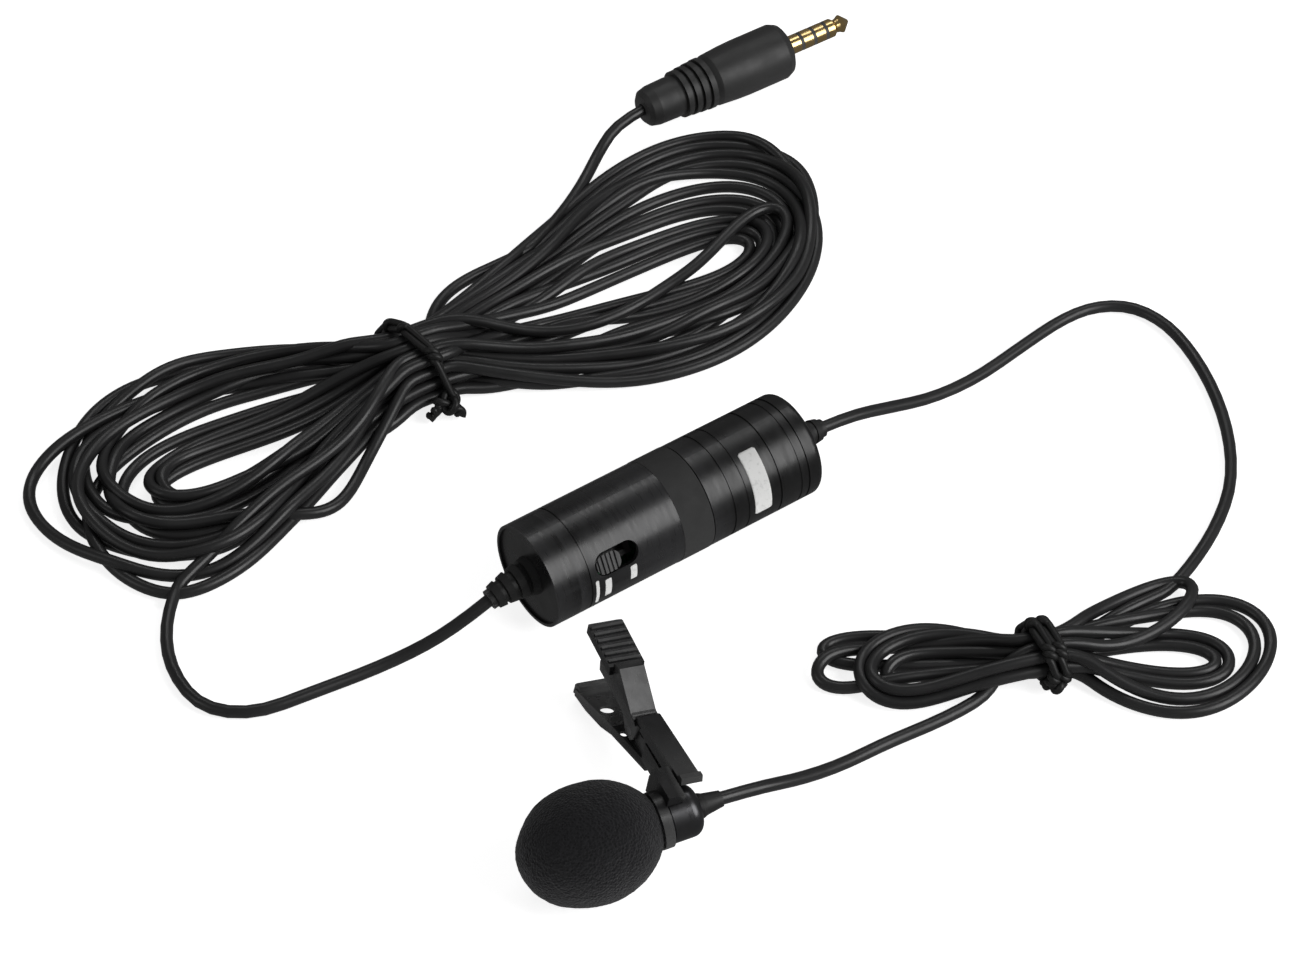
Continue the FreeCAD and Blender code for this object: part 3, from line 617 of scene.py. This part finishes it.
def hank(entry, turns, leave, outlines, tie, azimuth, rows, layer):
    """Control points for a hank, from the end of one route to the end of the other.

    layer is how much higher each turn starts than the one below it."""
    right_outer, right_inner, left_outer, left_inner = outlines

    def share(shares, which, of_own_points):
        return shares[which] if len(shares) == SHARES else of_own_points

    laid = []
    for number, (right, left) in enumerate(turns):
        height = CORD_R + layer * (len(turns) - 1 - number)
        after = turns[number + 1][0] if number + 1 < len(turns) else LEAVING
        # Passes back lie on one side of the tie and passes forth on the other, each as far out as its two
        # lobes are on average.
        back = MIDDLE + (share(right, -1, 1) + share(left, 0, 0.5)) / 2
        forth = -MIDDLE - (share(left, -1, 0.2) + share(after, 0, 1)) / 2
        laid.append((lobe(right_outer, right_inner, right, height),
                     lobe(left_outer, left_inner, left, height), back, forth))
    points, held = wound(entry, laid, leave, tie, azimuth, rows)
    points, held = even(points, held, CORD_D)
    rounds = SETTLE_ROUNDS
    return settled(points, held, rounds)[::2]


def curve_object(name, lines, radius, material):
    """Round strands along these lines, as one curve object."""
    curve = bpy.data.curves.new(name, "CURVE")
    curve.dimensions = "3D"
    curve.bevel_depth = radius
    curve.bevel_resolution = 3
    curve.resolution_u = 3
    curve.use_fill_caps = True
    for points, loop in lines:
        spline = curve.splines.new("NURBS")
        spline.points.add(len(points) - 1)
        for point, place in zip(spline.points, points):
            point.co = (*place, 1)
        spline.order_u = 3
        spline.use_endpoint_u = not loop
        spline.use_cyclic_u = loop
    curve.materials.append(material)
    return added(name, curve)


def twisted_pair(line, outward, along, turns, loop):
    """Two strands laid around one line: outward is the line's normal at each point."""
    pair = []
    for strand in (0, math.pi):
        points = []
        for number, (place, normal) in enumerate(zip(line, outward)):
            angle = strand + 2 * math.pi * turns * number / (len(line) - (0 if loop else 1))
            offset = normal * math.cos(angle) + along * math.sin(angle)
            spot = place + offset * TIE_STRAND_R * SNUG
            spot.z = max(spot.z, TIE_STRAND_R)
            points.append(spot)
        pair.append((points, loop))
    return pair


def trefoil(centre, size, along, across):
    """A trefoil knot that lies level, kept above the floor."""
    count = 40
    thickness = 1.2
    loop = []
    for number in range(count):
        t = 2 * math.pi * number / count
        flat = along * (math.sin(t) + 2 * math.sin(2 * t)) - Vector((0, 0, 1)) * math.sin(3 * t) * thickness
        spot = centre + size * (flat + across * (math.cos(t) - 2 * math.cos(2 * t)))
        spot.z = max(spot.z, TIE_STRAND_R)
        loop.append(spot)
    return loop


def tie(name, centre, azimuth, rows, bands, knot, knot_size, tails, material):
    """A twisted tie: bands (slant, shift along) around a bundle, a knot beside it, and the loose ends."""
    along, across = axes(azimuth)
    strands = [(offset, place.z) for offset, _, place in tie_slots(centre, azimuth, rows)]
    clearance = CORD_R + 1.9 * TIE_STRAND_R      # the pair's strands reach in from its line to the cord
    lowest = 1.2 * TIE_STRAND_R
    steps, twists = 72, 7
    lines = []
    for slant, shift in bands:
        band, outward = [], []
        for number in range(steps):
            angle = 2 * math.pi * number / steps
            side, rise = math.cos(angle), math.sin(angle)
            offset, height = max(strands, key=lambda spot: spot[0] * side + spot[1] * rise)
            offset += clearance * side
            height = max(height + clearance * rise, lowest)
            band.append(centre + across * offset + along * (offset * slant + shift) + Vector((0, 0, height)))
            outward.append(across * side + Vector((0, 0, rise)))
        lines += twisted_pair(band, outward, along, twists, True)
    lines.append((trefoil(knot, knot_size, along, across), True))
    parts = 4                        # of each stretch of a tail
    for tail in tails:
        line = [knot.lerp(tail[0], 0.5), *tail]
        dense = [before.lerp(after, part / parts) for before, after in zip(line, line[1:])
                 for part in range(parts)]
        dense.append(line[-1])
        outward = [Vector((0, 0, 1))] * len(dense)
        lines += twisted_pair(dense, outward, along, len(line) / 2, False)
    piece = curve_object(name, lines, TIE_STRAND_R, material)
    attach(piece, "base")
    return piece


def ties(material):
    tails = (mm((-37, 57.2, 2.2), (-38.2, 56.2, 1.4)), mm((-33.8, 57.4, 2.2), (-32.8, 57, 1.4)))
    long_tie = tie("long_tie", LONG_TIE, LONG_AZIMUTH, LONG_ROWS, bands=((-0.22, 0),),
                   knot=Vector((-35.2, 58.4, 3.0)) * MM, knot_size=0.72 * MM, tails=tails, material=material)
    short_tie = tie("short_tie", SHORT_TIE, SHORT_AZIMUTH, SHORT_ROWS,
                    bands=((-0.14, -0.8 * MM), (-0.14, 0.9 * MM)),
                    knot=Vector((63.0, -3.8, 3.0)) * MM, knot_size=0.42 * MM, tails=(), material=material)
    return long_tie, short_tie


def cords(material):
    long_turns = hank(mm(*LONG_ENTRY), LONG_TURNS, mm(*LONG_LEAVE),
                      (LONG_RIGHT_OUTER, LONG_RIGHT_INNER, LONG_LEFT_OUTER, LONG_LEFT_INNER),
                      LONG_TIE, LONG_AZIMUTH, LONG_ROWS, layer=1.0 * MM)
    short_turns = hank(mm(*SHORT_ENTRY), SHORT_TURNS, mm(*SHORT_LEAVE),
                       (SHORT_RIGHT_OUTER, SHORT_RIGHT_INNER, SHORT_LEFT_OUTER, SHORT_LEFT_INNER),
                       SHORT_TIE, SHORT_AZIMUTH, SHORT_ROWS, layer=1.4 * MM)
    plug_line = PACK_LEAD_PLUG_SIDE + long_turns[1:] + PLUG_LEAD[::-1]
    mic_line = MIC_LEAD[:-1] + short_turns[1:-1] + PACK_LEAD_MIC_SIDE[::-1]
    plug_cord = curve_object("plug_cord", [(plug_line, False)], CORD_R, material)
    mic_cord = curve_object("mic_cord", [(mic_line, False)], CORD_R, material)
    for cord in (plug_cord, mic_cord):
        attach(cord, "base")
    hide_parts("mic_lead", "short_hank", "pack_lead_mic_side")
    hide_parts("pack_lead_plug_side", "long_hank", "plug_lead")
    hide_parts("long_hank_tie")
    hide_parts("short_hank_tie")
    length_of(line_of(mic_cord))
    length_of(line_of(plug_cord))


# ---------------------------------------------------------------- foam windscreen
FOAM_LUMPS = ((5.5, 0.22), (1.1, 0.05), (0.45, 0.045))    # size across and height, in millimetres
FOAM_SINK = 0.08                     # the surface is drawn in, so that its lumps don't widen it much


def windscreen(material):
    """A ball of open-cell foam turned about the capsule's axis, with a socket for the capsule."""
    half_length, radius, socket_r, socket_end, lip = 11.6, 9.55, 4.2, -1.3, 0.5
    steps, rounds = 96, 160
    rim = math.asin(socket_r / radius)
    profile = []
    for number in range(steps + 1):
        angle = math.pi - (math.pi - rim) * number / steps
        profile.append((half_length * math.cos(angle), radius * math.sin(angle)))
    wall = socket_r - 0.1
    profile += [(half_length * math.cos(rim) - lip, wall), (socket_end, wall), (socket_end, 0)]
    mesh = bmesh.new()
    rings = []
    for along, out in profile:
        if out < 1e-6:
            rings.append([mesh.verts.new((along * MM, 0, 0))])
            continue
        ring = []
        for number in range(rounds):
            angle = 2 * math.pi * number / rounds
            ring.append(mesh.verts.new((along * MM, out * math.cos(angle) * MM, out * math.sin(angle) * MM)))
        rings.append(ring)
    for before, after in zip(rings, rings[1:]):
        for number in range(rounds):
            follow = (number + 1) % rounds
            corners = [before[number % len(before)], before[follow % len(before)],
                       after[follow % len(after)], after[number % len(after)]]
            mesh.faces.new(list(dict.fromkeys(corners)))
    bmesh.ops.recalc_face_normals(mesh, faces=mesh.faces)
    mesh.normal_update()
    for vert in mesh.verts:
        in_socket = vert.co.yz.length < (socket_r - 0.05) * MM and vert.co.x > 0
        if in_socket:
            continue
        spot = vert.co / MM
        lumps = sum(noise.noise(spot / size) * height for size, height in FOAM_LUMPS)
        vert.co += vert.normal * (lumps - FOAM_SINK) * MM
    data = placed_mesh("foam_ball", mesh, MIC_CENTRE, MIC_AZIMUTH, material)
    # The foam's own weight flattens it where it lies.
    for vert in data.vertices:
        vert.co.z = max(vert.co.z, 0.05 * MM)
    ball = added("foam_ball", data)
    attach(ball, "foam")
    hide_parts("foam_windscreen")


# ---------------------------------------------------------------- printed marks on the pack
def print_patch(name, body, start, end, low, high, material, corner=0.2):
    """A patch of ink on the pack: along it in millimetres, around it in degrees up from the near side."""
    columns, rows = 12, 40
    lift, thickness = 0.02, 0.04
    out = PACK_R / MM + lift
    mesh = bmesh.new()
    grid = []
    height = math.radians(high - low) * PACK_R / MM
    for row in range(rows + 1):
        up = row / rows * height
        inset = 0
        for distance in (up, height - up):
            if distance < corner:
                inset = corner - math.sqrt(corner ** 2 - (corner - distance) ** 2)
        angle = math.radians(low) + up * MM / PACK_R
        line = []
        for column in range(columns + 1):
            along = start + inset + (end - start - 2 * inset) * column / columns
            spot = (along * MM, -out * math.cos(angle) * MM, out * math.sin(angle) * MM)
            line.append(mesh.verts.new(spot))
        grid.append(line)
    for below, above in zip(grid, grid[1:]):
        for column in range(columns):
            mesh.faces.new((below[column], below[column + 1], above[column + 1], above[column]))
    patch = added(name, placed_mesh(name, mesh, PACK_FACE, PACK_AZIMUTH, material))
    skin = patch.modifiers.new("ink", "SOLIDIFY")
    skin.thickness = thickness * MM
    skin.offset = 0
    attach(patch, body)


def printed_marks(material):
    print_patch("cap_label", "screw_cap", 38.3, 41.6, -7, 67, material, corner=0.35)
    print_patch("switch_mark_bar", "base", 7.15, 7.75, -20, 14, material)
    print_patch("switch_mark_near", "base", 8.9, 10.1, -15, 10, material)
    print_patch("switch_mark_far", "base", 13.8, 15.0, -8, 11, material)


camera()
studio()
finish = finishes()
dress_nodes(finish)
long_tie, short_tie = ties(finish["tie_jacket"])
cords(finish["cable_jacket"])
windscreen(finish["foam"])
printed_marks(white_ink())
